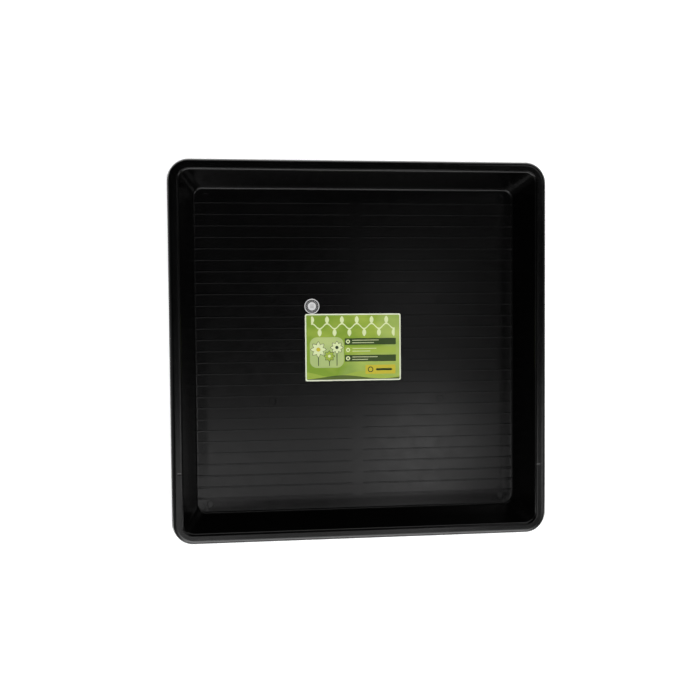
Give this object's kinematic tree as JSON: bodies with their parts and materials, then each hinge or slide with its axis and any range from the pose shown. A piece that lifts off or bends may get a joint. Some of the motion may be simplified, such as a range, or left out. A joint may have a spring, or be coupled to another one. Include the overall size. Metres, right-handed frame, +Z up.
{
  "type": "potting soil tray",
  "caption": "Square black plastic potting tray with sloping side walls, a rolled rim and a ribbed floor on pressed feet, with a printed label and a round seal inside.",
  "frame": {"origin": "under the middle of the tray, on the surface that its feet stand on", "axes": "+X along the ribs to the right as the label is read, +Y to the label's upper edge, +Z up out of the tray's mouth"},
  "size_m": [0.5998, 0.5998, 0.07],
  "materials": {
    "black_plastic": "satin moulded black polypropylene",
    "printed_label": "glossy coated print, lime green with a white border",
    "silver_seal": "satin silver print with grey rings"
  },
  "bodies": {
    "root": {"tray": "black_plastic", "product_label": "printed_label", "round_seal": "silver_seal"}
  },
  "joints": []
}
